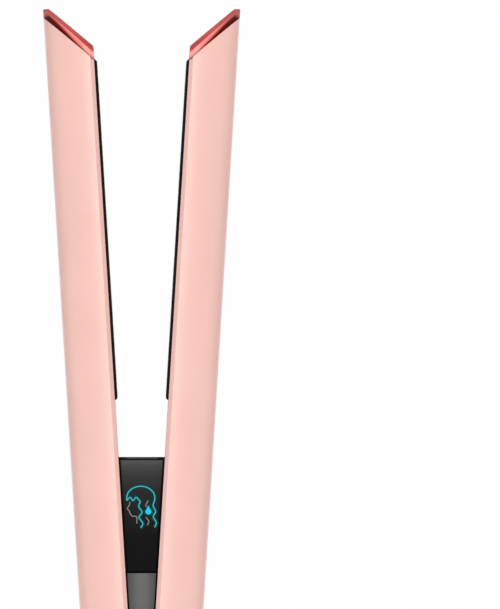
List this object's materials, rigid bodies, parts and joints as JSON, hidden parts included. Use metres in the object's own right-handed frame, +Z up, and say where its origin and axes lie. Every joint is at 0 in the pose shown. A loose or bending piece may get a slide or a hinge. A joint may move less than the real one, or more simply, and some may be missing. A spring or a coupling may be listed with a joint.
{
  "type": "flat iron",
  "caption": "Airflow flat iron with two hinged half-round arms, slanted metal tips, slotted air strips, rear finger hubs, a display between the arms and a fan in the base.",
  "frame": {"origin": "centre of the cord bore's mouth, level with the base's end face", "axes": "+Z up the tool towards the arm tips, +X towards the right arm, -Y is the display side, +Y the rear"},
  "size_m": [0.065, 0.0524, 0.3136],
  "materials": {
    "pink_shell": "smooth satin, pale ceramic pink",
    "coral_metal": "satin anodised coral red",
    "black_strip": "smooth gloss black",
    "dark_plastic": "fine matt black",
    "key_grey": "satin dark grey",
    "display_glass": "polished black glass with a lit pictogram",
    "steel": "machined",
    "mesh_steel": "fine woven",
    "bare_aluminium": "die cast",
    "board": "circuit board",
    "rubber": "moulded"
  },
  "bodies": {
    "handle": {"base_cap": "pink_shell", "cord_gland": "rubber", "filter_mesh": "mesh_steel", "motor": "steel", "motor_isolator": "rubber", "fan_shroud": "dark_plastic", "main_board": "board", "base_housing": "pink_shell", "top_cover": "dark_plastic", "chassis": "bare_aluminium", "hinge_pins": "steel", "air_riser": "dark_plastic", "leaf_springs": "steel", "display_carrier": "dark_plastic", "rear_spine": "dark_plastic", "core_bridge": "dark_plastic", "display_glass": "display_glass", "display_board": "board"},
    "right_arm": {"shell_r": "pink_shell", "tip_cap_r": "coral_metal", "jaw_r": "coral_metal", "hub_ring_r": "coral_metal", "hub_disc_r": "pink_shell", "air_strip_r": "black_strip", "nozzle_r": "dark_plastic", "duct_r": "dark_plastic", "heater_r": "bare_aluminium", "thermistor_r": "steel", "arm_screws_r": "steel", "hinge_bracket_r": "bare_aluminium"},
    "left_arm": {"shell_l": "pink_shell", "tip_cap_l": "coral_metal", "jaw_l": "coral_metal", "hub_ring_l": "coral_metal", "hub_disc_l": "pink_shell", "air_strip_l": "black_strip", "nozzle_l": "dark_plastic", "duct_l": "dark_plastic", "heater_l": "bare_aluminium", "thermistor_l": "steel", "arm_screws_l": "steel", "hinge_bracket_l": "bare_aluminium"},
    "fan_rotor": {"impeller": "dark_plastic"},
    "mode_button": {"mode_key": "key_grey"},
    "power_switch": {"power_button": "key_grey"},
    "temp_switch": {"temp_rocker": "key_grey"},
    "lock": {"lock_slider": "coral_metal"},
    "filter_sleeve": {"filter_cage": "coral_metal"}
  },
  "joints": [
    {"name": "right_arm_hinge", "type": "hinge", "parent": "handle", "child": "right_arm", "pos_m": [0, 0, 0.072], "axis": [0, 1, 0], "range_deg": [-3.5, 0], "stiffness_Nm_per_rad": 3, "springref_deg": 5.73},
    {"name": "left_arm_hinge", "type": "hinge", "parent": "handle", "child": "left_arm", "pos_m": [0, 0, 0.072], "axis": [0, -1, 0], "range_deg": [-3.5, 0], "stiffness_Nm_per_rad": 3, "springref_deg": 5.73},
    {"name": "fan_spin", "type": "hinge", "parent": "handle", "child": "fan_rotor", "pos_m": [0, 0, 0.042], "axis": [0, 0, 1], "continuous": true},
    {"name": "mode_button_press", "type": "slide", "parent": "handle", "child": "mode_button", "axis": [0, 1, 0], "range_m": [0, 0.0007], "stiffness_N_per_m": 300, "springref_m": -0.0008},
    {"name": "power_switch_press", "type": "slide", "parent": "handle", "child": "power_switch", "axis": [0, 1, 0], "range_m": [0, 0.0007], "stiffness_N_per_m": 300, "springref_m": -0.0008},
    {"name": "temp_switch_rock", "type": "hinge", "parent": "handle", "child": "temp_switch", "pos_m": [0, -0.0185, 0.0424], "axis": [1, 0, 0], "range_deg": [-3, 3], "stiffness_Nm_per_rad": 0.02},
    {"name": "lock_slide", "type": "slide", "parent": "handle", "child": "lock", "axis": [0, 0, 1], "range_m": [0, 0.005]},
    {"name": "filter_sleeve_twist", "type": "hinge", "parent": "handle", "child": "filter_sleeve", "pos_m": [0, 0, 0.022], "axis": [0, 0, 1], "range_deg": [0, 25]}
  ]
}
